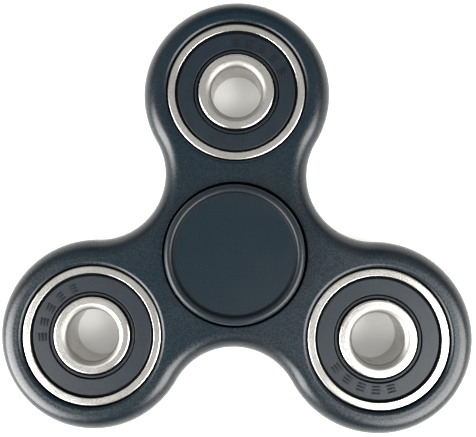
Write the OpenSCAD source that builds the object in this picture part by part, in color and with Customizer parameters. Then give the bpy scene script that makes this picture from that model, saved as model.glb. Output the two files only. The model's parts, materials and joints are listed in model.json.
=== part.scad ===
// Three-lobed fidget spinner.
// A moulded body carries three sealed ball bearings as weights and turns on a fourth one in its middle.
// Two finger caps are pressed into the middle bearing, one from each side.
// The spin axis is Z, the body's mid-plane is z = 0, and one lobe points along +Y.

/* [Body] */
// Wall between the middle recess and a lobe's pocket, at its thinnest
web_wall = 3.4; // [2:0.05:8]
// Wall round the outside of a lobe's pocket
lobe_wall = 4; // [3.2:0.1:7]
// Wall between the middle recess and the bottom of a waist
waist_wall = 3.45; // [2:0.05:5]
// How far each bearing's face lies below the body's face
bearing_recess = 0.3; // [0.1:0.05:0.8]
// Radius of the rounding along the body's outer edges
edge_rounding = 2.7; // [0.5:0.1:3.2]
// Radius of the rounding round the mouth of a lobe's pocket
pocket_rounding = 0.6; // [0.1:0.05:1]
// Depth of the recess that each finger cap sits over
cap_recess_depth = 1.4; // [0.4:0.1:1.8]

/* [Bearings] */
// Outer diameter of each bearing
bearing_od = 22; // [20:0.1:28]
// Bore of each bearing
bearing_bore = 8; // [6:0.1:9.6]
// Width of each bearing
bearing_width = 7; // [6.4:0.1:9]
// Diameter of a ball
ball_diameter = 3.97; // [3.2:0.01:4.2]
// Number of balls in a bearing
ball_count = 7; // [5:1:7]
// How deep a ball sits in each raceway
race_depth = 0.485; // [0.3:0.005:0.6]
// Radial gap between a ball and its raceways
ball_gap = 0.03; // [0.02:0.01:0.08]
// Radius of the rounding at the outer ring's outside corners
ring_corner = 0.4; // [0.1:0.05:0.6]
// Radius of the rounding at the mouths of the inner ring's bore
bore_corner = 0.95; // [0.2:0.05:1.1]
// Radius of the rounding at the inner ring's outside corners
shoulder_corner = 0.25; // [0.05:0.05:0.3]

/* [Seals] */
// Width of the step in the outer ring that a seal sits on
seal_step = 0.75; // [0.5:0.01:0.85]
// Thickness of a seal's flat web
seal_thickness = 0.65; // [0.5:0.05:0.8]
// How far a seal's face lies below the bearing's face
seal_recess = 0.25; // [0.1:0.05:0.4]
// Thickness of the rim that snaps into the outer ring
rim_thickness = 0.3; // [0.2:0.05:0.45]
// How far the rim reaches under the edge of the outer ring
rim_hook = 0.1; // [0.05:0.01:0.15]
// Width of the groove between the seal's web and the outer ring's edge
rim_groove = 0.45; // [0.2:0.01:0.6]
// Gap between the rim and the slot that it snaps into
rim_gap = 0.05; // [0.02:0.01:0.1]
// Radial gap between the seal's lip and the inner ring
lip_gap = 0.1; // [0.05:0.01:0.2]
// Radial width of the seal's lip
lip_width = 0.7; // [0.4:0.05:0.9]
// How far the lip's face lies below the web's face
lip_drop = 0.15; // [0.05:0.05:0.3]

/* [Cage] */
// Thickness of the cage's wall, measured along the radius
cage_wall = 1.3; // [0.8:0.1:1.5]
// Thickness of the cage's base under a ball
cage_floor = 0.3; // [0.2:0.05:0.35]
// Height of the cage's fingers over the balls' middle plane
cage_fingers = 0.8; // [0.4:0.1:1]
// Gap between a ball and its pocket in the cage
cage_gap = 0.1; // [0.05:0.01:0.15]

/* [Finger caps] */
// How far a cap's edge lies inside the middle bearing's outside edge
cap_inset = 0.15; // [0:0.05:1.5]
// Height of a cap's rim over the body's face
cap_height = 1.7; // [1.2:0.1:3]
// Depth of the dish in a cap
dish_depth = 0.5; // [0.3:0.05:0.9]
// Radius of the rounding along the rim's outer edge
rim_rounding = 0.65; // [0.3:0.05:1]
// Width of the flat along the top of the rim
crest_flat = 0.15; // [0.1:0.05:0.6]
// Radius of the rounding along the rim's inner edge
dish_rounding = 0.55; // [0.45:0.05:1]
// Radius of the cove that leads from there into the dish's floor
dish_cove = 0.45; // [0.45:0.05:1]
// Gap between the underside of a cap and the turning ring below it
cap_clearance = 0.25; // [0.15:0.05:0.5]
// Gap between a cap's edge and the wall of its recess
cap_side_gap = 0.45; // [0.3:0.05:1]
// Bevel along a cap's lower edge
cap_bevel = 0.2; // [0.1:0.05:0.3]
// Gap left between the tips of the two stems inside the middle bearing
stem_tip_gap = 0.6; // [0.2:0.1:2]
// Bevel at the tip of a stem
stem_bevel = 0.4; // [0.2:0.1:0.8]
// Radial width of the step on a cap that seats on the inner ring
seat_width = 1.6; // [1:0.1:1.7]

/* [Hidden] */
$fn = 96;
lobe_names = ["top", "left", "right"];
lobe_angles = [90, 210, 330];
waist_angles = [150, 270, 30];
// how far a cutter runs past the face that it opens
overcut = 1;

ring_radius = bearing_od / 2;
bore_radius = bearing_bore / 2;
bearing_half = bearing_width / 2;
ball_radius = ball_diameter / 2;
race_radius = ball_radius + ball_gap;
pitch_radius = (ring_radius + bore_radius) / 2;
inner_shoulder = pitch_radius - ball_radius + race_depth;
outer_shoulder = pitch_radius + ball_radius - race_depth;

ring_lip = outer_shoulder + seal_step;
seal_face = bearing_half - seal_recess;
seal_back = seal_face - seal_thickness;
seal_rim = ring_lip + rim_hook;
seal_bore = inner_shoulder + lip_gap;
cage_pocket = ball_radius + cage_gap;
cage_base = cage_pocket + cage_floor;

cap_radius = ring_radius - cap_inset;
recess_radius = cap_radius + cap_side_gap;
body_half = bearing_half + bearing_recess;
cap_top = body_half + cap_height;
cap_bottom = bearing_half + cap_clearance;
stem_tip = stem_tip_gap / 2;

lobe_radius = ring_radius + lobe_wall;
lobe_distance = recess_radius + web_wall + ring_radius;
waist_reach = recess_radius + waist_wall;
// the waist's arc touches both of its lobes' arcs and comes within waist_reach of the spin axis
waist_radius =
    (pow(lobe_distance, 2) + pow(waist_reach, 2) - lobe_distance * waist_reach - pow(lobe_radius, 2))
    / (2 * (lobe_radius - waist_reach) + lobe_distance);
waist_distance = waist_reach + waist_radius;
// the waist's cutter is this much larger, so that it crosses the lobes' edges and doesn't only touch them
waist_cross = 0.02;

places = concat(["centre"], lobe_names);

plastic = [0.16, 0.19, 0.21];
cap_plastic = [0.19, 0.22, 0.24];
steel = [0.72, 0.71, 0.69];
ball_steel = [0.86, 0.86, 0.87];
rubber = [0.22, 0.25, 0.27];
nylon = [0.88, 0.85, 0.76];

// Point at a distance from the spin axis, in the direction of an angle
function around(distance, angle) = [distance * cos(angle), distance * sin(angle)];

// Middle of a named bearing
function place_of(place) =
    place == "centre" ? [0, 0] : around(lobe_distance, lobe_angles[search([place], lobe_names)[0]]);

// Material outside a rounded corner whose tip is at the origin and which fills the -x, -y quarter
module corner_waste(radius) {
    difference() {
        translate([-radius, -radius]) square(radius + overcut);
        translate([-radius, -radius]) circle(r = radius);
    }
}

// Half section of a ring about Z, with its outside and inside corners rounded
module ring_section(inside, outside, half, inside_corner, outside_corner) {
    difference() {
        translate([inside, -half]) square([outside - inside, 2 * half]);
        for (side = [0, 1])
            mirror([0, side]) {
                if (outside_corner > 0) translate([outside, half]) corner_waste(outside_corner);
                if (inside_corner > 0) translate([inside, half]) mirror([1, 0]) corner_waste(inside_corner);
            }
    }
}

// Round plate of a lobe, with rounded edges
module lobe_plate() {
    rotate_extrude() ring_section(0, lobe_radius, body_half, 0, edge_rounding);
}

// Flat plate that joins the lobes, with corners at their middles and at the middles of the waists' arcs
module web_plate() {
    translate([0, 0, -body_half])
        linear_extrude(2 * body_half)
            polygon([
                for (i = [0:2]) each [
                    around(lobe_distance, lobe_angles[i]),
                    around(waist_distance, waist_angles[i])]]);
}

// Cutter for a waist: a spool whose flared ends leave the body's edges rounded
module waist_spool() {
    radius = waist_radius + waist_cross;
    rotate_extrude() {
        translate([0, -body_half - overcut]) square([radius, 2 * (body_half + overcut)]);
        for (side = [0, 1])
            mirror([0, side])
                translate([radius, body_half]) mirror([1, 0]) corner_waste(edge_rounding);
    }
}

// Cutter for a bearing's hole, right through the body, with a rounding left round each mouth
module bearing_hole(rounding) {
    rotate_extrude() {
        translate([0, -body_half - overcut]) square([ring_radius, 2 * (body_half + overcut)]);
        if (rounding > 0)
            for (side = [0, 1])
                mirror([0, side])
                    translate([ring_radius, body_half]) mirror([1, 0]) corner_waste(rounding);
    }
}

module spinner_body() {
    color(plastic)
        difference() {
            union() {
                web_plate();
                for (angle = lobe_angles) translate(around(lobe_distance, angle)) lobe_plate();
            }
            for (angle = waist_angles) translate(around(waist_distance, angle)) waist_spool();
            bearing_hole(0);
            for (angle = lobe_angles) translate(around(lobe_distance, angle)) bearing_hole(pocket_rounding);
            for (side = [0, 1])
                mirror([0, 0, side])
                    translate([0, 0, body_half - cap_recess_depth])
                        cylinder(r = recess_radius, h = cap_recess_depth + overcut);
        }
}

// Half section of the dish above its floor: the rim's inner rounding runs smoothly into the cove
module dish_waste(crest_in) {
    arcs = dish_cove + dish_rounding;
    floor_edge = crest_in - sqrt(pow(arcs, 2) - pow(arcs - dish_depth, 2));
    cove_middle = [floor_edge, cap_top - dish_depth + dish_cove];
    crest_middle = [crest_in, cap_top - dish_rounding];
    translate([0, cap_top - dish_depth]) square([floor_edge, dish_depth + overcut]);
    translate(cove_middle) circle(r = dish_cove);
    difference() {
        polygon([cove_middle, crest_middle, [crest_in, cap_top + overcut], [floor_edge, cap_top + overcut]]);
        translate(crest_middle) circle(r = dish_rounding);
    }
}

// Finger cap: a dished disc with a rounded rim, a seat on the inner ring and a stem in its bore
module finger_cap() {
    crest_in = cap_radius - rim_rounding - crest_flat;
    color(cap_plastic)
        rotate_extrude()
            difference() {
                union() {
                    translate([0, cap_bottom]) square([cap_radius, cap_top - cap_bottom]);
                    translate([0, bearing_half])
                        square([bore_radius + seat_width, cap_bottom - bearing_half + overcut / 2]);
                    translate([0, stem_tip]) square([bore_radius, bearing_half - stem_tip + overcut / 2]);
                }
                translate([cap_radius, cap_top]) corner_waste(rim_rounding);
                dish_waste(crest_in);
                polygon([
                    [cap_radius - cap_bevel, cap_bottom],
                    [cap_radius + overcut, cap_bottom - overcut],
                    [cap_radius + overcut, cap_bottom + cap_bevel + overcut],
                    [cap_radius, cap_bottom + cap_bevel]]);
                polygon([
                    [bore_radius - stem_bevel, stem_tip],
                    [bore_radius - stem_bevel, stem_tip - overcut],
                    [bore_radius + overcut, stem_tip - overcut],
                    [bore_radius + overcut, stem_tip + stem_bevel],
                    [bore_radius, stem_tip + stem_bevel]]);
            }
}

module front_cap() {
    finger_cap();
}

module rear_cap() {
    mirror([0, 0, 1]) finger_cap();
}

// Outer ring, with a raceway inside and a step and a snap slot for a seal at each face
module outer_ring() {
    slot_radius = seal_rim + rim_gap;
    color(steel)
        rotate_extrude()
            difference() {
                ring_section(outer_shoulder, ring_radius, bearing_half, 0, ring_corner);
                translate([pitch_radius, 0]) circle(r = race_radius);
                for (side = [0, 1])
                    mirror([0, side]) {
                        translate([0, seal_back]) square([ring_lip, bearing_half - seal_back + overcut]);
                        translate([0, seal_back]) square([slot_radius, rim_thickness + rim_gap]);
                    }
            }
}

// Inner ring, with a raceway outside and a bore with rounded mouths
module inner_ring() {
    color(steel)
        rotate_extrude()
            difference() {
                ring_section(bore_radius, inner_shoulder, bearing_half, bore_corner, shoulder_corner);
                translate([pitch_radius, 0]) circle(r = race_radius);
            }
}

// Snap cage: a ring below the balls, whose fingers close a little over them
module ball_cage() {
    color(nylon)
        difference() {
            rotate_extrude()
                translate([pitch_radius - cage_wall / 2, -cage_base])
                    square([cage_wall, cage_base + cage_fingers]);
            for (n = [1:ball_count]) translate(ball_middle(n)) sphere(r = cage_pocket);
        }
}

// Rubber seal for the front face: a flat web, a lowered lip at the inner ring and a thin rim to snap in
module seal() {
    web_edge = ring_lip - rim_groove;
    color(rubber)
        rotate_extrude() {
            translate([seal_bore, seal_back]) square([web_edge - seal_bore, seal_thickness - lip_drop]);
            translate([seal_bore + lip_width, seal_back])
                square([web_edge - seal_bore - lip_width, seal_thickness]);
            translate([seal_bore, seal_back]) square([seal_rim - seal_bore, rim_thickness]);
        }
}

// Middle of a ball, in its bearing's own frame
function ball_middle(n) = around(pitch_radius, 360 * (n - 1) / ball_count);

module ball(n) {
    color(ball_steel) translate(ball_middle(n)) sphere(r = ball_radius);
}

spinner_body();
front_cap();
rear_cap();
for (place = places)
    translate(place_of(place)) {
        outer_ring();
        inner_ring();
        ball_cage();
        for (n = [1:ball_count])
            ball(n);
    }
for (place = lobe_names)
    translate(place_of(place)) {
        seal();
        mirror([0, 0, 1]) seal();
    }
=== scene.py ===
import json
import math
import bmesh
import bpy
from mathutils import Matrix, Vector


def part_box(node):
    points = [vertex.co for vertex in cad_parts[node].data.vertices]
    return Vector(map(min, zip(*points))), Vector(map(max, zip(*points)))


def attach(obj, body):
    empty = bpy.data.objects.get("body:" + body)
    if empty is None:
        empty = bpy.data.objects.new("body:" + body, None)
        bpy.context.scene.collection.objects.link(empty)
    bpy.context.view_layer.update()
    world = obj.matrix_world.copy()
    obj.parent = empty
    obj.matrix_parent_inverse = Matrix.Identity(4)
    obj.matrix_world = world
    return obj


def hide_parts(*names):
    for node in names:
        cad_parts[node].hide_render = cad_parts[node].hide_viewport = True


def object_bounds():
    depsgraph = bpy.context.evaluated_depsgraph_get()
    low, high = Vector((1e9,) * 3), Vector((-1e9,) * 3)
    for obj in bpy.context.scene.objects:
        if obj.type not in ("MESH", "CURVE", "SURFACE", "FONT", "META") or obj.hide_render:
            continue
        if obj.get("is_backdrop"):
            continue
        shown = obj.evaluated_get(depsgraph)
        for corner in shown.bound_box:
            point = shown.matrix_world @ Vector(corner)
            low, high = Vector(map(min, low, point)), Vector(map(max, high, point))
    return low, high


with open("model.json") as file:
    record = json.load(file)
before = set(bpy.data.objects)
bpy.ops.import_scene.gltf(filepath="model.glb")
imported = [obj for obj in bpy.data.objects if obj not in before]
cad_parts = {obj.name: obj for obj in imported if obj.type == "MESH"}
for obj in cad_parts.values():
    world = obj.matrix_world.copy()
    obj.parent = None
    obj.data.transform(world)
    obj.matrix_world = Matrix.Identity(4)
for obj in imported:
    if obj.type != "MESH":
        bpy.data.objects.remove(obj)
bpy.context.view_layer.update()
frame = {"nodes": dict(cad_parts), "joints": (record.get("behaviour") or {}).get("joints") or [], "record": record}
mm = 0.001
lobes = ["top", "left", "right"]
places = ["centre"] + lobes
print("frame loaded:", len(frame["nodes"]), "nodes")


def jointPlace(name):
    return Vector(next(j["pos_m"] for j in frame["joints"] if j["name"] == name))


def outerRadius(node):     # of a round node, from its box
    low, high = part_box(node)
    return (high.x - low.x) / 2


def topOf(node):
    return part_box(node)[1].z


middleOf = {place: jointPlace(place + "_cage_turn") for place in places}
boreRadius = next(m["dims"]["r_mm"] for m in frame["record"]["mounts"] if m["kind"] == "bore") * mm
ringRadius = outerRadius("top_outer_ring")
ringHalf = topOf("top_outer_ring")
shoulderRadius = outerRadius("top_inner_ring")
pitchRadius = (ringRadius + boreRadius) / 2
bodyHalf = topOf("spinner_body")
lobeDistance = middleOf["top"].length
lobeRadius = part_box("spinner_body")[1].y - lobeDistance


def feed(tree, socket, value):     # joins a socket to another one, or sets its value
    if isinstance(value, Sum):
        tree.links.new(value.socket, socket)
    elif isinstance(value, bpy.types.NodeSocket):
        tree.links.new(value, socket)
    elif value is not None:
        socket.default_value = value


def addNode(tree, kind, inputs=None, **settings):
    node = tree.nodes.new(kind)
    for name, value in settings.items():
        setattr(node, name, value)
    for name, value in (inputs or {}).items():
        feed(tree, node.inputs[name], value)
    return node


class Sum:     # a socket that takes part in sums, so that a formula reads like one
    def __init__(self, tree, socket):
        self.tree = tree
        self.socket = socket

    def maths(self, kind, first, second=None):
        node = addNode(self.tree, "ShaderNodeMath", operation=kind)
        feed(self.tree, node.inputs[0], first)
        feed(self.tree, node.inputs[1], second)
        return Sum(self.tree, node.outputs[0])

    def __add__(self, other):
        return self.maths("ADD", self, other)

    def __sub__(self, other):
        return self.maths("SUBTRACT", self, other)

    def __rsub__(self, other):
        return self.maths("SUBTRACT", other, self)

    def __mul__(self, other):
        return self.maths("MULTIPLY", self, other)

    def __truediv__(self, other):
        return self.maths("DIVIDE", self, other)

    def floor(self):
        return self.maths("FLOOR", self)

    def below(self, other):     # 1 where this is less than the other, or else 0
        return self.maths("LESS_THAN", self, other)

    def larger(self, other):
        return self.maths("MAXIMUM", self, other)

    def unsigned(self):
        return self.maths("ABSOLUTE", self)

    def cos(self):
        return self.maths("COSINE", self)

    def sin(self):
        return self.maths("SINE", self)


def newTree(name, floats=(), whole=(), vectors=()):
    tree = bpy.data.node_groups.new(name, "GeometryNodeTree")
    face = tree.interface
    face.new_socket("Geometry", in_out="INPUT", socket_type="NodeSocketGeometry")
    face.new_socket("Geometry", in_out="OUTPUT", socket_type="NodeSocketGeometry")
    kinds = {"NodeSocketFloat": floats, "NodeSocketInt": whole, "NodeSocketVector": vectors}
    for kind, names in kinds.items():
        for each in names:
            face.new_socket(each, in_out="INPUT", socket_type=kind)
    face.new_socket("Material", in_out="INPUT", socket_type="NodeSocketMaterial")
    given = addNode(tree, "NodeGroupInput")
    return tree, {s.name: s for s in given.outputs}


def endTree(tree, geometry, material):     # every tree ends in real geometry with its material set
    real = addNode(tree, "GeometryNodeRealizeInstances", {"Geometry": geometry})
    painted = addNode(tree, "GeometryNodeSetMaterial", {"Geometry": real.outputs[0], "Material": material})
    out = addNode(tree, "NodeGroupOutput")
    tree.links.new(painted.outputs[0], out.inputs[0])


def grown(tree, base, values):     # the plain mesh that a tree makes from a base mesh
    seed = bpy.data.objects.new("seed", base)
    bpy.context.scene.collection.objects.link(seed)
    modifier = seed.modifiers.new("grow", "NODES")
    modifier.node_group = tree
    for item in tree.interface.items_tree:
        if item.in_out == "INPUT" and item.name in values:
            modifier[item.identifier] = values[item.name]
    seed.update_tag()
    shown = bpy.context.evaluated_depsgraph_get()
    shown.update()
    mesh = bpy.data.meshes.new_from_object(seed.evaluated_get(shown))
    bpy.data.objects.remove(seed)
    return mesh


def sectionPoints(corners, closed=True, stepAngle=11.25, strip=0.03 * mm):
    # a section is a line of (across, up, rounding) corners; a rounding is an arc that touches both sides,
    # with a narrow strip of flat beside it, so that the flats shade flat
    points = []
    count = len(corners)
    for i, corner in enumerate(corners):
        here = Vector(corner[:2])
        rounding = corner[2] if len(corner) > 2 else 0
        if not rounding or (not closed and i in (0, count - 1)):
            points.append(here)
            continue
        toBack = Vector(corners[i - 1][:2]) - here
        toAhead = Vector(corners[(i + 1) % count][:2]) - here
        back = toBack.normalized()
        ahead = toAhead.normalized()
        half = back.angle(ahead) / 2
        reach = rounding / math.tan(half)
        middle = here + (back + ahead).normalized() * rounding / math.sin(half)
        start = here + back * reach - middle
        turn = math.pi - 2 * half
        side = 1 if back.x * ahead.y - back.y * ahead.x < 0 else -1
        steps = max(2, math.ceil(math.degrees(turn) / stepAngle))
        if toBack.length > reach + 4 * strip:
            points.append(here + back * (reach + strip))
        for k in range(steps + 1):
            a = side * turn * k / steps
            x = start.x * math.cos(a) - start.y * math.sin(a)
            y = start.x * math.sin(a) + start.y * math.cos(a)
            points.append(middle + Vector((x, y)))
        if toAhead.length > reach + 4 * strip:
            points.append(here + ahead * (reach + strip))
    if closed:
        points.append(points[0])
    return points


def sectionMesh(points):
    mesh = bpy.data.meshes.new("section")
    mesh.from_pydata([(p.x, p.y, 0) for p in points], [], [])
    return mesh


def gridOver(tree, section, columns):     # a grid with a row for each point of the section
    size = addNode(tree, "GeometryNodeAttributeDomainSize", {0: section}, component="MESH")
    rows = Sum(tree, size.outputs["Point Count"])
    grid = addNode(tree, "GeometryNodeMeshGrid", {"Vertices X": Sum(tree, columns) + 1, "Vertices Y": rows})
    index = Sum(tree, addNode(tree, "GeometryNodeInputIndex").outputs[0])
    column = (index / rows).floor()
    row = index - column * rows
    found = addNode(tree, "GeometryNodeSampleIndex", data_type="FLOAT_VECTOR", domain="POINT")
    tree.links.new(section, found.inputs[0])
    tree.links.new(addNode(tree, "GeometryNodeInputPosition").outputs[0], found.inputs[1])
    tree.links.new(row.socket, found.inputs[2])
    parts = addNode(tree, "ShaderNodeSeparateXYZ", {0: found.outputs[0]})
    return grid.outputs[0], column, Sum(tree, parts.outputs[0]), Sum(tree, parts.outputs[1])


def placed(tree, geometry, x, y, z, middle=None):
    where = addNode(tree, "ShaderNodeCombineXYZ", {0: x, 1: y, 2: z}).outputs[0]
    if middle is not None:
        where = addNode(tree, "ShaderNodeVectorMath", {0: where, 1: middle}, operation="ADD").outputs[0]
    return addNode(tree, "GeometryNodeSetPosition", {"Geometry": geometry, "Position": where}).outputs[0]


def noted(tree, geometry, across, up):     # keeps each point's place on the section for the materials
    value = addNode(tree, "ShaderNodeCombineXYZ", {0: across, 1: up, 2: 0.0}).outputs[0]
    store = addNode(tree, "GeometryNodeStoreNamedAttribute",
                    {"Geometry": geometry, "Name": "section", "Value": value},
                    data_type="FLOAT_VECTOR", domain="POINT")
    return store.outputs[0]


def turnedTree():     # turns a section round an upright axis through Middle
    tree, given = newTree("turnedPart", whole=("Segments",), vectors=("Middle",))
    grid, column, across, up = gridOver(tree, given["Geometry"], given["Segments"])
    angle = column * (2 * math.pi) / given["Segments"]
    marked = noted(tree, grid, across, up)
    shape = placed(tree, marked, across * angle.cos(), across * angle.sin(), up, given["Middle"])
    endTree(tree, shape, given["Material"])
    return tree


def lobedPoint(tree, given, column, inset):
    # a point of the outline: each third is a lobe's arc and then a waist's arc, both moved in by the inset
    perLobe = Sum(tree, given["Steps Per Lobe"])
    third = (column / perLobe).floor()
    share = column / perLobe - third
    onLobe = share.below(given["Lobe Share"])
    lobeAngle = (share / given["Lobe Share"] * 2 - 1) * given["Lobe Sweep"]
    waistTurn = (share - given["Lobe Share"]) / (1 - Sum(tree, given["Lobe Share"]))
    waistAngle = Sum(tree, given["Lobe Sweep"]) - math.pi - waistTurn * given["Waist Sweep"]
    lobeReach = Sum(tree, given["Lobe Radius"]) - inset
    waistReach = Sum(tree, given["Waist Radius"]) + inset
    halfPitch = math.pi / 3
    waistX = Sum(tree, given["Waist Distance"]) * math.cos(halfPitch)
    waistY = Sum(tree, given["Waist Distance"]) * math.sin(halfPitch)
    x = onLobe * (lobeAngle.cos() * lobeReach + given["Lobe Distance"]) \
        + (1 - onLobe) * (waistAngle.cos() * waistReach + waistX)
    y = onLobe * (lobeAngle.sin() * lobeReach) + (1 - onLobe) * (waistAngle.sin() * waistReach + waistY)
    turn = third * (2 * math.pi / 3) + given["First Angle"]
    return x * turn.cos() - y * turn.sin(), x * turn.sin() + y * turn.cos()


def lobedWallTree():     # carries a section round the lobed outline, and closes it with two flat faces
    tree, given = newTree(
        "lobedWall",
        floats=("Lobe Distance", "Lobe Radius", "Lobe Sweep", "Lobe Share", "Waist Distance", "Waist Radius",
                "Waist Sweep", "First Angle", "Flat Inset", "Half Thickness", "Lobe Hole", "Centre Hole"),
        whole=("Steps Per Lobe", "Hole Segments"))
    steps = Sum(tree, given["Steps Per Lobe"]) * 3
    grid, column, inset, up = gridOver(tree, given["Geometry"], steps.socket)
    x, y = lobedPoint(tree, given, column, inset)
    wall = placed(tree, noted(tree, grid, inset, up), x, y, up)

    line = addNode(tree, "GeometryNodeMeshLine", {"Count": steps})
    index = Sum(tree, addNode(tree, "GeometryNodeInputIndex").outputs[0])
    x, y = lobedPoint(tree, given, index, given["Flat Inset"])
    edge = addNode(tree, "GeometryNodeMeshToCurve", {0: placed(tree, line.outputs[0], x, y, 0.0)})
    edge = addNode(tree, "GeometryNodeSetSplineCyclic", {"Geometry": edge.outputs[0], "Cyclic": True})
    rings = addNode(tree, "GeometryNodeJoinGeometry")
    tree.links.new(edge.outputs[0], rings.inputs[0])
    for k in range(4):     # the middle hole, then one in each lobe
        size = given["Centre Hole" if k == 0 else "Lobe Hole"]
        ring = addNode(tree, "GeometryNodeCurvePrimitiveCircle", {"Resolution": given["Hole Segments"]})
        feed(tree, ring.inputs["Radius"], size)
        angle = Sum(tree, given["First Angle"]) + 2 * math.pi / 3 * k
        reach = Sum(tree, given["Lobe Distance"]) * (0.0 if k == 0 else 1.0)
        where = addNode(tree, "ShaderNodeCombineXYZ", {0: reach * angle.cos(), 1: reach * angle.sin()})
        moved = addNode(tree, "GeometryNodeTransform", {
            "Geometry": ring.outputs[0], "Translation": where.outputs[0]})
        tree.links.new(moved.outputs[0], rings.inputs[0])
    flat = addNode(tree, "GeometryNodeFillCurve", {0: rings.outputs[0]})
    whole = addNode(tree, "GeometryNodeJoinGeometry")
    tree.links.new(wall, whole.inputs[0])
    for side in (1, -1):
        height = Sum(tree, given["Half Thickness"]) * side
        lift = addNode(tree, "ShaderNodeCombineXYZ", {2: height})
        face = addNode(tree, "GeometryNodeTransform", {
            "Geometry": flat.outputs[0], "Translation": lift.outputs[0]})
        marked = noted(tree, face.outputs[0], given["Flat Inset"], height)
        tree.links.new(marked, whole.inputs[0])
    endTree(tree, whole.outputs[0], given["Material"])
    return tree


def barTree():     # groups of short raised bars with bevelled tops, set side by side along an arc
    tree, given = newTree(
        "raisedBars",
        floats=("Radius", "Bar Spacing", "First Angle", "Group Angle", "Length", "Width", "Height",
                "Top Share", "Base Up", "Shade Drop"),
        whole=("Groups", "Bars"), vectors=("Middle",))
    block = addNode(tree, "GeometryNodeMeshGrid", {
        "Size X": given["Width"], "Size Y": given["Length"], "Vertices X": 2, "Vertices Y": 2})
    halfHeight = Sum(tree, given["Height"]) * 0.5
    lower = addNode(tree, "GeometryNodeExtrudeMesh", {"Mesh": block.outputs[0], "Offset Scale": halfHeight})
    upper = addNode(tree, "GeometryNodeExtrudeMesh", {
        "Mesh": lower.outputs["Mesh"], "Selection": lower.outputs["Top"], "Offset Scale": halfHeight})
    shrunk = addNode(tree, "GeometryNodeScaleElements", {
        "Geometry": upper.outputs["Mesh"], "Selection": upper.outputs["Top"], "Scale": given["Top Share"]})
    bars = Sum(tree, given["Bars"])
    line = addNode(tree, "GeometryNodeMeshLine", {"Count": bars * given["Groups"]})
    index = Sum(tree, addNode(tree, "GeometryNodeInputIndex").outputs[0])
    group = (index / bars).floor()
    across = (index - group * bars - (bars - 1) * 0.5) * given["Bar Spacing"] + given["Radius"]
    angle = group * given["Group Angle"] + given["First Angle"]
    spots = placed(tree, line.outputs[0], across * angle.cos(), across * angle.sin(),
                   given["Base Up"], given["Middle"])
    turn = addNode(tree, "ShaderNodeCombineXYZ", {2: angle})
    laid = addNode(tree, "GeometryNodeInstanceOnPoints", {
        "Points": spots, "Instance": shrunk.outputs[0], "Rotation": turn.outputs[0]})
    # the bars are noted a little low, which gives them part of the painted groove shade
    marked = noted(tree, laid.outputs[0], given["Radius"], Sum(tree, given["Base Up"]) - given["Shade Drop"])
    endTree(tree, marked, given["Material"])
    return tree


turned = turnedTree()
lobedWall = lobedWallTree()
raisedBars = barTree()
print("node trees built")


weldDistance = 0.0005 * mm
sliverLength = 0.0001 * mm


def joined(meshes, mirrored=False):     # one welded mesh, with its faces turned outwards
    work = bmesh.new()
    for mesh in meshes:
        work.from_mesh(mesh)
        bpy.data.meshes.remove(mesh)
    if mirrored:
        for v in work.verts:
            v.co.z = -v.co.z
    bmesh.ops.remove_doubles(work, verts=work.verts, dist=weldDistance)
    bmesh.ops.dissolve_degenerate(work, edges=work.edges, dist=sliverLength)
    bmesh.ops.recalc_face_normals(work, faces=work.faces)
    return work


def finishedPiece(name, work, material, body, nodes, sharpAngle=25):
    mesh = bpy.data.meshes.new(name)
    work.to_mesh(mesh)
    work.free()
    mesh.materials.clear()
    mesh.materials.append(material)
    mesh.shade_smooth()
    mesh.set_sharp_from_angle(angle=math.radians(sharpAngle))
    piece = bpy.data.objects.new(name, mesh)
    bpy.context.scene.collection.objects.link(piece)
    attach(piece, body)
    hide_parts(*nodes)
    return piece


def turnedMesh(corners, middle, segments, material, closed=True):
    section = sectionMesh(sectionPoints(corners, closed))
    return grown(turned, section, {"Segments": segments, "Middle": middle, "Material": material})


def newMaterial(name):
    material = bpy.data.materials.new(name)
    material.use_nodes = True
    tree = material.node_tree
    return material, tree, tree.nodes["Principled BSDF"]


def objectPlace(tree):
    return addNode(tree, "ShaderNodeTexCoord").outputs["Object"]


def sectionPlace(tree):     # the point's place on its section: across, and up or down from the middle plane
    place = addNode(tree, "ShaderNodeAttribute", attribute_name="section").outputs["Vector"]
    parts = addNode(tree, "ShaderNodeSeparateXYZ", {0: place})
    across = Sum(tree, parts.outputs[0])
    up = Sum(tree, parts.outputs[1]).unsigned()
    return place, across, up


def noise(tree, where, perMetre, detail=3.0, rough=0.55):
    scaled = addNode(tree, "ShaderNodeMapping", {"Vector": where, "Scale": (perMetre, perMetre, perMetre)})
    texture = addNode(tree, "ShaderNodeTexNoise", {
        "Vector": scaled.outputs[0], "Scale": 1.0, "Detail": detail, "Roughness": rough})
    return texture.outputs["Fac"]


def ramp(tree, value, start, end, low=0.0, high=1.0, kind="LINEAR"):
    mapped = addNode(tree, "ShaderNodeMapRange", {
        "Value": value, "From Min": start, "From Max": end, "To Min": low, "To Max": high},
        interpolation_type=kind)
    return Sum(tree, mapped.outputs[0])


def spread(tree, value, low, high):     # a noise's middle range, mapped to low..high
    return ramp(tree, value, 0.3, 0.7, low, high)


def blended(tree, factor, first, second):
    mix = addNode(tree, "ShaderNodeMix", data_type="RGBA")
    feed(tree, mix.inputs[0], factor)
    feed(tree, mix.inputs[6], (*first, 1) if isinstance(first, tuple) else first)
    feed(tree, mix.inputs[7], (*second, 1) if isinstance(second, tuple) else second)
    return mix.outputs[2]


def bumped(tree, height, distance, under=None):
    inputs = {"Height": height, "Distance": distance, "Strength": 1.0}
    if under is not None:
        inputs["Normal"] = under
    return addNode(tree, "ShaderNodeBump", inputs).outputs[0]


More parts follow.
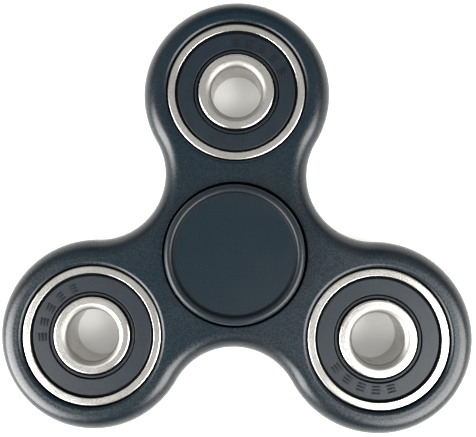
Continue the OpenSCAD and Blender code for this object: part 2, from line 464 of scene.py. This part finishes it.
def mouldedPlastic(name, look, handled, creviceShadeMask):
    # handled and the crevice mask take the place on the section; handled gives 1 where hands polish, and the
    # crevice mask gives 1 where shade is painted into the crevices
    material, tree, shader = newMaterial(name)
    where = objectPlace(tree)
    _, across, up = sectionPlace(tree)
    cloud = noise(tree, where, look["cloudsPerMetre"], 4.0)
    grain = noise(tree, where, look["grainPerMetre"], 2.0, 0.6)
    wear = spread(tree, noise(tree, where, look["wearPerMetre"], 5.0), *look["wearShare"])
    polish = handled(tree, across, up) * wear
    creviceShade = creviceShadeMask(tree, across, up)
    tone = blended(tree, spread(tree, cloud, 0.0, 1.0), look["deepTone"], look["paleTone"])
    tone = blended(tree, polish * look["wornShare"], tone, look["wornTone"])
    # the crevice mask paints shade: a near-black colour that is also less specular and rougher
    feed(tree, shader.inputs["Base Color"], blended(tree, creviceShade, tone, look["creviceShadeTone"]))
    rough = spread(tree, cloud, *look["roughness"]) + (Sum(tree, grain) - 0.5) * look["grainRoughness"] \
        - polish * look["polishing"] + creviceShade * look["creviceShadeRoughness"]
    feed(tree, shader.inputs["Roughness"], rough)
    sparkle = spread(tree, grain, 1 - look["sparkle"], 1 + look["sparkle"])
    feed(tree, shader.inputs["Specular IOR Level"], (1 - creviceShade) * sparkle * look["specular"])
    waves = bumped(tree, noise(tree, where, look["wavesPerMetre"], 2.0), look["waveDepth"])
    feed(tree, shader.inputs["Normal"], bumped(tree, grain, look["grainDepth"], waves))
    return material


bodyPlasticLook = {
    "deepTone": (0.0003, 0.0042, 0.0073),
    "paleTone": (0.0008, 0.0040, 0.0068),
    "wornTone": (0.0056, 0.0066, 0.0076),
    # the colour of the painted shade in the crevices
    "creviceShadeTone": (0.0006, 0.0008, 0.0010),
    "cloudsPerMetre": 90,
    "grainPerMetre": 3600,
    "wavesPerMetre": 120,
    "wearPerMetre": 260,
    "wearShare": (0.35, 1.0),
    "wornShare": 0.6,             # how far handling takes the colour to the worn tone
    "roughness": (0.24, 0.30),
    "grainRoughness": 0.20,
    "polishing": 0.05,            # how much roughness handling takes away
    "creviceShadeRoughness": 0.35,
    "grainDepth": 0.000012,
    "waveDepth": 0.00003,
    "specular": 0.32,
    "sparkle": 0.20,
}
capPlasticLook = {
    **bodyPlasticLook,
    "roughness": (0.29, 0.33),
    "grainRoughness": 0.06,
    "polishing": 0.0,
    "grainDepth": 0.000004,
    "specular": 0.25,
    "sparkle": 0.10,
}


# each mask below goes from 0 to 1 between its two places on the section

bodyMasks = {
    "edgeOuter": (0.3 * mm, 1.0 * mm),       # in from the outline
    "edgeInner": (2.6 * mm, 1.9 * mm),
    # the next two place the painted shade on the walls of the pockets and the recess
    "pocketAcross": (10.0 * mm, 10.5 * mm),
    "belowMouth": (3.70 * mm, 3.52 * mm),
}


def bodyHandled(tree, across, up):     # the rounded edges
    return ramp(tree, across, *bodyMasks["edgeOuter"]) * ramp(tree, across, *bodyMasks["edgeInner"])


def bodyCreviceShade(tree, across, up):     # painted shade on the walls of the pockets and recesses, below their mouths
    return ramp(tree, across, *bodyMasks["pocketAcross"]) * ramp(tree, up, *bodyMasks["belowMouth"])


capMasks = {
    "crest": (5.2 * mm, 5.45 * mm),
    "footInner": (9.05 * mm, 9.25 * mm),
    "footOuter": (9.85 * mm, 9.60 * mm),
    # how strong the painted shade is at the foot of the dish's slope
    "footShade": 0.65,
    "belowRim": (4.3 * mm, 3.7 * mm),
}


def capHandled(tree, across, up):
    return ramp(tree, up, *capMasks["crest"])


def capCreviceShade(tree, across, up):     # painted shade on the wall under the rim, and more weakly at the foot of the dish's slope
    foot = ramp(tree, across, *capMasks["footInner"]) * ramp(tree, across, *capMasks["footOuter"])
    return (foot * capMasks["footShade"]).larger(ramp(tree, up, *capMasks["belowRim"]))


bodyPlastic = mouldedPlastic("satinBodyPlastic", bodyPlasticLook, bodyHandled, bodyCreviceShade)
capPlastic = mouldedPlastic("smoothCapPlastic", capPlasticLook, capHandled, capCreviceShade)


def groundSteel(name, look):     # steel with fine lines that run round the ring, and painted shade, dark and rough, in its grooves and on its outer wall
    material, tree, shader = newMaterial(name)
    where = objectPlace(tree)
    place, across, up = sectionPlace(tree)
    lines = noise(tree, place, look["linesPerMetre"], 3.0, 0.7)
    cloud = noise(tree, where, look["cloudsPerMetre"], 4.0)
    specks = noise(tree, where, look["specksPerMetre"], 3.0, 0.7)
    inGroove = ramp(tree, up, *look["grooveDown"]) * ramp(tree, across, *look["grooveAcross"])
    # painted shade in the grooves and on the outer wall
    grooveShade = inGroove.larger(ramp(tree, across, *look["outerWall"]))
    tone = blended(tree, spread(tree, cloud, 0.0, 1.0), look["deepTone"], look["paleTone"])
    tone = blended(tree, spread(tree, specks, 0.0, look["speckShare"]), tone, look["speckTone"])
    # painted shade: the bore's mouth, and less so the straight bore, take a much darker tone, and the mouth a
    # rougher finish
    mouth = ramp(tree, across, *look["mouthAcross"]) \
        * ramp(tree, across, *look["boreWall"], look["boreShadeShare"], 1.0)
    tone = blended(tree, mouth, tone, look["mouthShadeTone"])
    feed(tree, shader.inputs["Base Color"], blended(tree, grooveShade, tone, look["grooveShadeTone"]))
    shader.inputs["Metallic"].default_value = 1.0
    rough = spread(tree, cloud, *look["roughness"]) + (Sum(tree, lines) - 0.5) * look["lineRoughness"] \
        + grooveShade * look["grooveShadeRoughness"] + mouth * look["mouthRoughness"]
    feed(tree, shader.inputs["Roughness"], rough)
    fine = bumped(tree, specks, look["speckDepth"])
    feed(tree, shader.inputs["Normal"], bumped(tree, lines, look["lineDepth"], fine))
    return material


ringSteel = groundSteel("groundRingSteel", {
    "deepTone": (0.62, 0.61, 0.58),
    "paleTone": (0.73, 0.72, 0.70),
    "speckTone": (0.45, 0.43, 0.39),
    # the dark tone of the painted shade in the bore's mouth
    "mouthShadeTone": (0.19, 0.186, 0.175),
    # the near-black of the painted groove shade
    "grooveShadeTone": (0.012, 0.012, 0.013),
    "linesPerMetre": 14000,
    "cloudsPerMetre": 220,
    "specksPerMetre": 2600,
    "speckShare": 0.45,
    "roughness": (0.15, 0.19),
    "lineRoughness": 0.09,
    "mouthRoughness": 0.32,
    "grooveShadeRoughness": 0.3,
    "grooveDown": (3.35 * mm, 3.15 * mm),
    "grooveAcross": (5.6 * mm, 5.8 * mm),
    "outerWall": (10.70 * mm, 10.82 * mm),
    "mouthAcross": (5.05 * mm, 4.70 * mm),
    "boreWall": (4.02 * mm, 4.08 * mm),
    "boreShadeShare": 0.35,            # how much of the mouth's painted shade the straight bore has
    "lineDepth": 0.0000045,
    "speckDepth": 0.000003,
})


def mattRubber(name, look):     # clean on the web, with painted shade, dark and dull, in the grooves beside the lip and the rim
    material, tree, shader = newMaterial(name)
    where = objectPlace(tree)
    _, across, up = sectionPlace(tree)
    cloud = noise(tree, where, look["cloudsPerMetre"], 5.0)
    grain = noise(tree, where, look["grainPerMetre"], 3.0, 0.65)
    # painted shade in the grooves
    grooveShade = ramp(tree, up, *look["grooveDown"])
    tone = blended(tree, spread(tree, cloud, 0.0, 1.0), look["deepTone"], look["paleTone"])
    feed(tree, shader.inputs["Base Color"], blended(tree, grooveShade, tone, look["grooveShadeTone"]))
    rough = spread(tree, grain, *look["roughness"]) + grooveShade * look["grooveShadeRoughness"]
    feed(tree, shader.inputs["Roughness"], rough)
    sparkle = spread(tree, grain, 1 - look["sparkle"], 1 + look["sparkle"])
    shine = (1 - grooveShade * look["grooveShadeDulling"]) * sparkle * look["specular"]
    feed(tree, shader.inputs["Specular IOR Level"], shine)
    feed(tree, shader.inputs["Normal"], bumped(tree, grain, look["grainDepth"]))
    return material


sealRubber = mattRubber("mattSealRubber", {
    "deepTone": (0.0007, 0.0030, 0.0056),
    "paleTone": (0.0016, 0.0046, 0.0080),
    # the near-black of the painted groove shade
    "grooveShadeTone": (0.0005, 0.0007, 0.0010),
    "cloudsPerMetre": 300,
    "grainPerMetre": 7000,
    "roughness": (0.33, 0.40),
    "grooveShadeRoughness": 0.35,
    "grooveShadeDulling": 0.8,
    "grooveDown": (3.12 * mm, 2.98 * mm),
    "grainDepth": 0.000010,
    "specular": 0.29,
    "sparkle": 0.25,
})


def polishedSteel(name, look):
    material, tree, shader = newMaterial(name)
    cloud = noise(tree, objectPlace(tree), look["cloudsPerMetre"], 5.0)
    feed(tree, shader.inputs["Base Color"], blended(tree, cloud, look["deepTone"], look["paleTone"]))
    shader.inputs["Metallic"].default_value = 1.0
    feed(tree, shader.inputs["Roughness"], spread(tree, cloud, *look["roughness"]))
    return material


ballSteel = polishedSteel("polishedBallSteel", {
    "deepTone": (0.70, 0.70, 0.71),
    "paleTone": (0.80, 0.80, 0.80),
    "cloudsPerMetre": 900,
    "roughness": (0.05, 0.11),
})


def mouldedNylon(name, look):
    material, tree, shader = newMaterial(name)
    where = objectPlace(tree)
    cloud = noise(tree, where, look["cloudsPerMetre"], 4.0)
    feed(tree, shader.inputs["Base Color"], blended(tree, cloud, look["deepTone"], look["paleTone"]))
    feed(tree, shader.inputs["Roughness"], spread(tree, cloud, *look["roughness"]))
    grain = noise(tree, where, look["grainPerMetre"], 2.0)
    feed(tree, shader.inputs["Normal"], bumped(tree, grain, look["grainDepth"]))
    return material


cageNylon = mouldedNylon("creamCageNylon", {
    "deepTone": (0.66, 0.60, 0.46),
    "paleTone": (0.76, 0.71, 0.58),
    "cloudsPerMetre": 500,
    "grainPerMetre": 5000,
    "grainDepth": 0.000005,
    "roughness": (0.42, 0.55),
})
print("materials made")


bodySizes = {
    "edgeRounding": 2.7 * mm,
    "flatStrip": 0.12 * mm,       # flat rim next to a rounding, which keeps the big faces' shading flat
    "pocketRounding": 0.6 * mm,
    "recessRadius": 11.3 * mm,
    "recessDepth": 1.4 * mm,
    "recessRounding": 0.15 * mm,
    "seamDepth": 0.04 * mm,       # mould parting line round the middle of the side wall
    "seamHalfWidth": 0.1 * mm,
    "waistReach": 14.75 * mm,     # from the spin axis to the bottom of a waist
    "stepsPerLobe": 144,
    "lobeShare": 0.74,            # of those steps that go to the lobe's own arc
    "holeSegments": 128,
}


def makeBody(sizes):
    reach = sizes["waistReach"]
    strip = sizes["flatStrip"]
    half = bodyHalf
    waistRadius = (lobeDistance ** 2 + reach ** 2 - lobeDistance * reach - lobeRadius ** 2) \
        / (2 * (lobeRadius - reach) + lobeDistance)
    waistDistance = reach + waistRadius
    sweep = math.atan2(waistDistance * math.sin(math.pi / 3),
                       waistDistance * math.cos(math.pi / 3) - lobeDistance)
    edge = sizes["edgeRounding"]
    seam = sizes["seamHalfWidth"]
    side = [(edge + strip, -half), (0, -half, edge), (0, -seam), (sizes["seamDepth"], 0), (0, seam),
            (0, half, edge), (edge + strip, half)]
    mouth = ringRadius + sizes["pocketRounding"] + strip
    recess = sizes["recessRadius"]
    floorUp = half - sizes["recessDepth"]
    recessMouth = recess + sizes["recessRounding"] + strip
    values = {
        "Lobe Distance": lobeDistance, "Lobe Radius": lobeRadius, "Lobe Sweep": sweep,
        "Lobe Share": sizes["lobeShare"], "Waist Distance": waistDistance, "Waist Radius": waistRadius,
        "Waist Sweep": 2 * (sweep - math.pi / 3), "First Angle": math.pi / 2, "Flat Inset": edge + strip,
        "Half Thickness": half, "Lobe Hole": mouth, "Centre Hole": recessMouth,
        "Steps Per Lobe": sizes["stepsPerLobe"], "Hole Segments": sizes["holeSegments"],
        "Material": bodyPlastic}
    meshes = [grown(lobedWall, sectionMesh(sectionPoints(side, closed=False)), values)]
    pocket = [(mouth, half), (ringRadius, half, sizes["pocketRounding"]),
              (ringRadius, -half, sizes["pocketRounding"]), (mouth, -half)]
    for lobe in lobes:
        meshes.append(turnedMesh(pocket, middleOf[lobe], sizes["holeSegments"], bodyPlastic, closed=False))
    well = [(recessMouth, half), (recess, half, sizes["recessRounding"]), (recess, floorUp),
            (ringRadius, floorUp), (ringRadius, -floorUp), (recess, -floorUp),
            (recess, -half, sizes["recessRounding"]), (recessMouth, -half)]
    meshes.append(turnedMesh(well, Vector(), sizes["holeSegments"], bodyPlastic, closed=False))
    work = joined(meshes)
    return finishedPiece("spinnerBody", work, bodyPlastic, "rotor", ["spinner_body"])


body = makeBody(bodySizes)
print("body made:", len(body.data.polygons), "faces")


capSizes = {
    "dishDepth": 0.5 * mm,
    "rimRounding": 0.65 * mm,
    "crestFlat": 0.15 * mm,
    "dishRounding": 0.55 * mm,    # from the crest down into the dish
    "dishCove": 0.45 * mm,        # and from there out onto the dish's floor
    "arcFit": 0.999,              # keeps those two arcs a hair apart
    "floorStrip": 0.15 * mm,
    "clearance": 0.25 * mm,
    "lowerBevel": 0.2 * mm,
    "seatWidth": 1.6 * mm,
    "stemBevel": 0.4 * mm,
    "stemTip": 0.3 * mm,
    "segments": 160,
}


def makeCap(name, node, sizes, mirrored):
    top = max(abs(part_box(node)[0].z), abs(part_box(node)[1].z))
    radius = outerRadius(node)
    rounding = sizes["dishRounding"]
    cove = sizes["dishCove"]
    crestIn = radius - sizes["rimRounding"] - sizes["crestFlat"]
    dish = top - sizes["dishDepth"]
    arcs = rounding + cove
    floorEdge = crestIn - math.sqrt(arcs ** 2 - (arcs - sizes["dishDepth"]) ** 2)
    halfSlope = math.tan(math.acos(1 - sizes["dishDepth"] / arcs) / 2)
    under = ringHalf + sizes["clearance"]
    seat = boreRadius + sizes["seatWidth"]
    section = [
        (0, sizes["stemTip"]), (boreRadius, sizes["stemTip"], sizes["stemBevel"]), (boreRadius, ringHalf),
        (seat, ringHalf), (seat, under), (radius, under, sizes["lowerBevel"]),
        (radius, top, sizes["rimRounding"]),
        (crestIn - rounding * halfSlope, top, rounding * sizes["arcFit"]),
        (floorEdge + cove * halfSlope, dish, cove * sizes["arcFit"]),
        (floorEdge - sizes["floorStrip"], dish), (0, dish)]
    mesh = turnedMesh(section, Vector(), sizes["segments"], capPlastic, closed=False)
    work = joined([mesh], mirrored)
    return finishedPiece(name, work, capPlastic, "hub", [node])


makeCap("frontCap", "front_cap", capSizes, False)
makeCap("rearCap", "rear_cap", capSizes, True)
print("caps made")


bearingSizes = {
    "ballRadius": 1.985 * mm,
    "raceGap": 0.03 * mm,
    "raceDepth": 0.485 * mm,
    "sealStep": 0.75 * mm,
    "sealThickness": 0.65 * mm,
    "sealRecess": 0.25 * mm,
    "slotDepth": 0.15 * mm,
    "slotHeight": 0.35 * mm,
    "outerCorner": 0.4 * mm,
    "lipCorner": 0.06 * mm,
    "boreCorner": 0.95 * mm,
    "shoulderCorner": 0.25 * mm,
    "segments": 128,
}
outerShoulder = pitchRadius + bearingSizes["ballRadius"] - bearingSizes["raceDepth"]
lipRadius = outerShoulder + bearingSizes["sealStep"]     # the outer ring's lip, round the seal
sealFace = ringHalf - bearingSizes["sealRecess"]
sealBack = sealFace - bearingSizes["sealThickness"]


def raceArc(sizes, side, steps=16):     # a raceway's points; side 1 is the outer ring's, -1 the inner ring's
    radius = sizes["ballRadius"] + sizes["raceGap"]
    shoulder = sizes["ballRadius"] - sizes["raceDepth"]
    opening = math.acos(shoulder / radius)
    return [(pitchRadius + side * radius * math.cos(a), radius * math.sin(a))
            for a in [opening * (2 * k / steps - 1) for k in range(steps + 1)]]


def makeOuterRing(place, sizes):
    slotUp = sealBack + sizes["slotHeight"]
    slot = lipRadius + sizes["slotDepth"]
    corner = sizes["lipCorner"]
    half = [(outerShoulder, sealBack), (slot, sealBack), (slot, slotUp), (lipRadius, slotUp, corner),
            (lipRadius, ringHalf, corner), (ringRadius, ringHalf, sizes["outerCorner"])]
    flipped = [(x, -y, *rest) for x, y, *rest in reversed(half)]
    section = raceArc(sizes, 1) + half + flipped
    mesh = turnedMesh(section, middleOf[place], sizes["segments"], ringSteel)
    name = place + "OuterRing"
    finishedPiece(name, joined([mesh]), ringSteel, "rotor", [place + "_outer_ring"])


def makeInnerRing(place, sizes):
    corner = sizes["shoulderCorner"]
    half = [(shoulderRadius, ringHalf, corner), (boreRadius, ringHalf, sizes["boreCorner"])]
    flipped = [(x, -y, *rest) for x, y, *rest in reversed(half)]
    section = raceArc(sizes, -1) + half + flipped
    mesh = turnedMesh(section, middleOf[place], sizes["segments"], ringSteel)
    rides = "hub" if place == "centre" else place + "_inner"
    name = place + "InnerRing"
    finishedPiece(name, joined([mesh]), ringSteel, rides, [place + "_inner_ring"])


for place in places:
    makeOuterRing(place, bearingSizes)
    makeInnerRing(place, bearingSizes)

for node, piece in frame["nodes"].items():     # the balls and cages are finished as they are
    if "_ball_" in node:
        piece.material_slots[0].material = cageNylon if node.endswith("cage") else ballSteel
print("rings, cages and balls finished")


sealSizes = {
    "lipGap": 0.1 * mm,
    "rimHook": 0.1 * mm,
    "rimThickness": 0.3 * mm,
    "grooveWidth": 0.45 * mm,
    "webCorner": 0.12 * mm,
    "lipWidth": 0.75 * mm,
    "lipGroove": 0.18 * mm,       # width of the groove on each side of the lip's ridge
    "lipGrooveDepth": 0.4 * mm,
    "lean": 0.04 * mm,            # how far a groove's wall leans over its depth
    "ridgeDrop": 0.16 * mm,       # how far the ridge lies below the web's face
    "ridgeCorner": 0.07 * mm,
    "segments": 128,
    "barGroups": 5,
    "barsPerGroup": 3,
    "barRadius": 7.85 * mm,
    "barSpacing": 0.50 * mm,
    "groupAngle": 17.2,           # degrees from one group of bars to the next
    "barLength": 1.30 * mm,
    "barWidth": 0.25 * mm,
    "barHeight": 0.16 * mm,
    "barTopShare": 0.7,           # of the bar's foot that its flat top has
    "barSink": 0.01 * mm,
    "barShadeDrop": 0.2 * mm,     # the materials take the bars to be this much lower, so that they take a little of the painted groove shade
    "firstGroup": {"top": 23, "left": 114, "right": 216},     # degrees, on the front seals
}


def makeSeal(place, side, sizes):
    rimFace = sealBack + sizes["rimThickness"]
    web = lipRadius - sizes["grooveWidth"]
    rim = lipRadius + sizes["rimHook"]
    bore = shoulderRadius + sizes["lipGap"]
    webIn = bore + sizes["lipWidth"]
    low = sealFace - sizes["lipGrooveDepth"]
    ridge = sealFace - sizes["ridgeDrop"]
    groove = sizes["lipGroove"]
    lean = sizes["lean"]
    corner = sizes["ridgeCorner"]
    section = [
        (bore, sealBack), (rim, sealBack, lean), (rim, rimFace, lean), (web + lean, rimFace, lean),
        (web, sealFace, sizes["webCorner"]), (webIn, sealFace, corner), (webIn - lean, low),
        (webIn - groove, low), (webIn - groove - lean, ridge, corner),
        (bore + groove + lean, ridge, corner), (bore + groove, low), (bore, low)]
    meshes = [turnedMesh(section, middleOf[place], sizes["segments"], sealRubber)]
    meshes.append(grown(raisedBars, bpy.data.meshes.new("start"), {
        "Radius": sizes["barRadius"], "Bar Spacing": sizes["barSpacing"],
        "First Angle": math.radians(sizes["firstGroup"][place]),
        "Group Angle": math.radians(sizes["groupAngle"]), "Length": sizes["barLength"],
        "Width": sizes["barWidth"], "Height": sizes["barHeight"], "Top Share": sizes["barTopShare"],
        "Base Up": sealFace - sizes["barSink"], "Shade Drop": sizes["barShadeDrop"],
        "Groups": sizes["barGroups"], "Bars": sizes["barsPerGroup"], "Middle": middleOf[place],
        "Material": sealRubber}))
    work = joined(meshes, mirrored=side == "rear")
    name = place + side.capitalize() + "Seal"
    finishedPiece(name, work, sealRubber, "rotor", [f"{place}_{side}_seal"])


for place in lobes:
    for side in ("front", "rear"):
        makeSeal(place, side, sealSizes)
print("seals made")


floorLook = {
    "size": 4.0,
    "drop": 0.02 * mm,            # below the object's lowest point
    "tone": (0.45, 0.447, 0.438),
    "mottlePerMetre": 60,
    "mottleShade": 0.985,
    "roughness": 0.9,
    "specular": 0.1,
    "glowTint": (1.0, 0.985, 0.965),
    "glow": 0.70,                 # the sheet glows, painted light that washes out the object's shadow on it
    "paintedShadeGlow": 0.17,           # painted shade: it glows less below the bearings, where it is seen through their bores
    "paintedShadeReach": (6 * mm, 11 * mm),
}


def makeFloor(look):
    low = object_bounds()[0].z - look["drop"]
    half = look["size"] / 2
    corners = [(-half, -half, low), (half, -half, low), (half, half, low), (-half, half, low)]
    mesh = bpy.data.meshes.new("paleFloor")
    mesh.from_pydata(corners, [], [(0, 1, 2, 3)])
    material, tree, shader = newMaterial("palePaper")
    where = objectPlace(tree)
    mottle = noise(tree, where, look["mottlePerMetre"], 3.0)
    pale = blended(tree, mottle, tuple(look["mottleShade"] * c for c in look["tone"]), look["tone"])
    feed(tree, shader.inputs["Base Color"], pale)
    shader.inputs["Roughness"].default_value = look["roughness"]
    shader.inputs["Specular IOR Level"].default_value = look["specular"]
    # painted shade: the glow falls off near each lobe's bore
    clearOfPaintedShade = None
    for lobe in lobes:
        spot = Vector((middleOf[lobe].x, middleOf[lobe].y, low))
        away = addNode(tree, "ShaderNodeVectorMath", {0: where, 1: spot}, operation="DISTANCE")
        clear = ramp(tree, away.outputs["Value"], *look["paintedShadeReach"], kind="SMOOTHSTEP")
        clearOfPaintedShade = clear if clearOfPaintedShade is None else clearOfPaintedShade * clear
    shader.inputs["Emission Color"].default_value = (*look["glowTint"], 1)
    feed(tree, shader.inputs["Emission Strength"],
         clearOfPaintedShade * (look["glow"] - look["paintedShadeGlow"]) + look["paintedShadeGlow"])
    mesh.materials.append(material)
    floor = bpy.data.objects.new("paleFloor", mesh)
    bpy.context.scene.collection.objects.link(floor)
    floor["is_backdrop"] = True


makeFloor(floorLook)


roomLight = {
    "overhead": 0.60,             # the dim part over the object
    "walls": 2.3,                 # the bright walls of the room
    "wallStart": 62,              # degrees from straight up
    "wallFull": 84,
    # a panel has its bearing, its angle from straight up, and its full and outer radius, all in degrees, and
    # its brightness, which is below zero for a dim patch
    "panels": [(-35, 46, 18, 31, 15.0), (207, 57, 18, 32, 18.5), (90, 50, 12, 28, -0.5),
               (30, 62, 8, 22, -0.4), (150, 62, 8, 22, -0.4), (270, 60, 8, 22, -0.4)],
    "tint": (1.0, 0.99, 0.975),
}


def makeRoomLight(look):
    world = bpy.data.worlds.new("softLightRoom")
    bpy.context.scene.world = world
    world.use_nodes = True
    tree = world.node_tree
    background = tree.nodes["Background"]
    direction = addNode(tree, "ShaderNodeTexCoord").outputs["Generated"]
    up = addNode(tree, "ShaderNodeSeparateXYZ", {0: direction}).outputs["Z"]
    start = math.cos(math.radians(look["wallStart"]))
    full = math.cos(math.radians(look["wallFull"]))
    total = ramp(tree, up, start, full, look["overhead"], look["walls"], "SMOOTHSTEP")
    for bearing, tilt, inner, outer, brightness in look["panels"]:
        a = math.radians(bearing)
        t = math.radians(tilt)
        aim = Vector((math.sin(t) * math.cos(a), math.sin(t) * math.sin(a), math.cos(t)))
        along = addNode(tree, "ShaderNodeVectorMath", {0: direction, 1: aim}, operation="DOT_PRODUCT")
        edge = math.cos(math.radians(outer))
        middle = math.cos(math.radians(inner))
        total = total + ramp(tree, along.outputs["Value"], edge, middle, 0.0, brightness, "SMOOTHSTEP")
    background.inputs["Color"].default_value = (*look["tint"], 1)
    feed(tree, background.inputs["Strength"], total)


makeRoomLight(roomLight)


cameraView = {
    "place": (2.83 * mm, 1.845 * mm, 92.21 * mm),
    "tilt": (2.43, 1.506, 0.476),     # degrees about X, Y and Z, from straight down
    "lens": 42.96,
    "sensorWidth": 36,
    "clip": (5 * mm, 20),
}


def makeCamera(view):
    camera = bpy.data.cameras.new("overheadCamera")
    camera.lens = view["lens"]
    camera.sensor_width = view["sensorWidth"]
    camera.clip_start = view["clip"][0]
    camera.clip_end = view["clip"][1]
    holder = bpy.data.objects.new("overheadCamera", camera)
    holder.location = view["place"]
    holder.rotation_euler = [math.radians(a) for a in view["tilt"]]
    bpy.context.scene.collection.objects.link(holder)
    bpy.context.scene.camera = holder


makeCamera(cameraView)
bpy.context.scene.view_settings.view_transform = "Standard"
print("floor, light and camera set")
